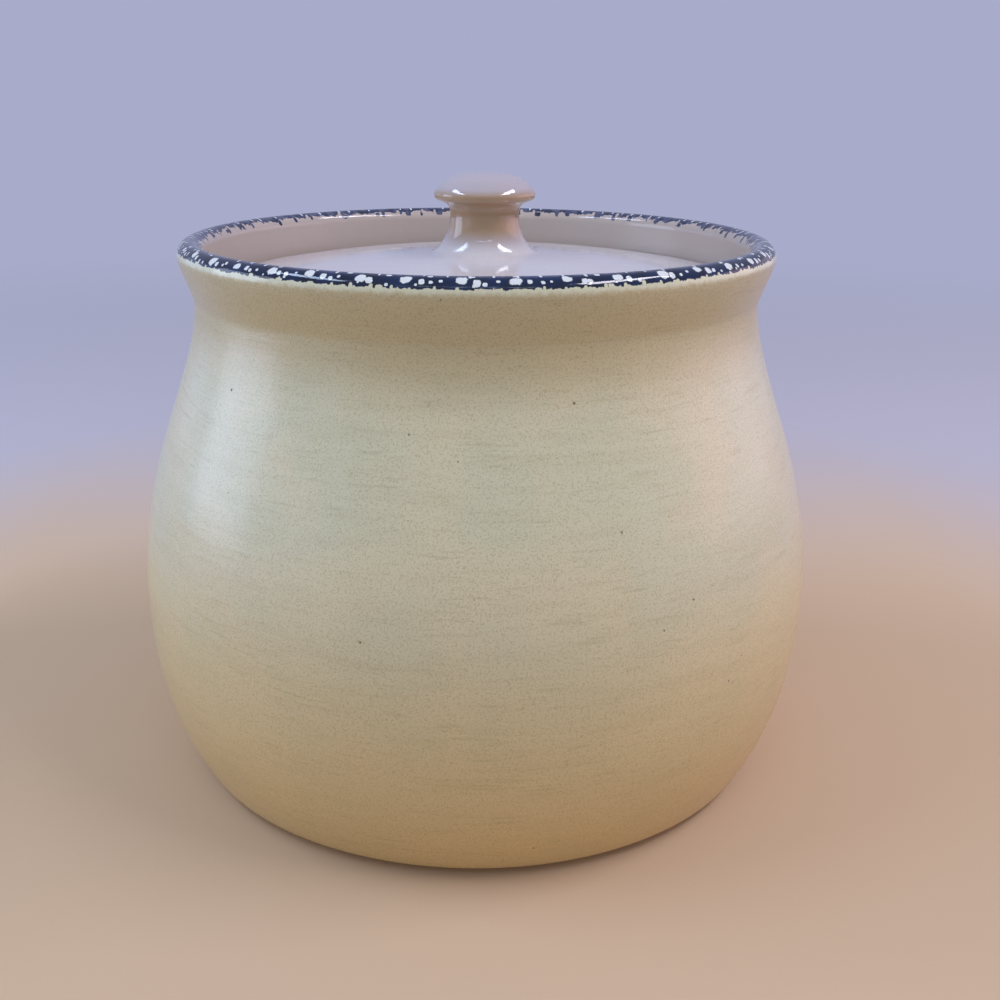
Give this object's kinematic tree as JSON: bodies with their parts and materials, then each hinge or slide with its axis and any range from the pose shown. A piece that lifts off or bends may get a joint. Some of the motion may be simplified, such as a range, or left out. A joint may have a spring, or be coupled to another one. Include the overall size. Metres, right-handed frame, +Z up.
{
  "type": "biscuit jar",
  "caption": "Pot-bellied stoneware biscuit jar with a flared lip, a loose drop-in lid resting on a gallery in the neck, and a mushroom knob.",
  "frame": {"origin": "centre of the foot's resting plane, on the jar's axis", "axes": "+Z up along the jar's axis, the way the lid lifts; -Y towards the viewer at the front, +X to the viewer's right. The loose lid lies 2.4 mm off the jar's axis towards +X"},
  "size_m": [0.2072, 0.2072, 0.1794],
  "materials": {
    "jar_glaze": "gloss cream glaze with fine speckle, and a sponged dark blue band over the lip",
    "lid_glaze": "gloss cream glaze"
  },
  "bodies": {
    "jar": {"jar_body": "jar_glaze"},
    "lid": {"lid": "lid_glaze", "lid_knob": "lid_glaze"}
  },
  "joints": [
    {"name": "lid_lift", "type": "slide", "parent": "jar", "child": "lid", "axis": [0, 0, 1], "range_m": [0, 0.08]}
  ]
}
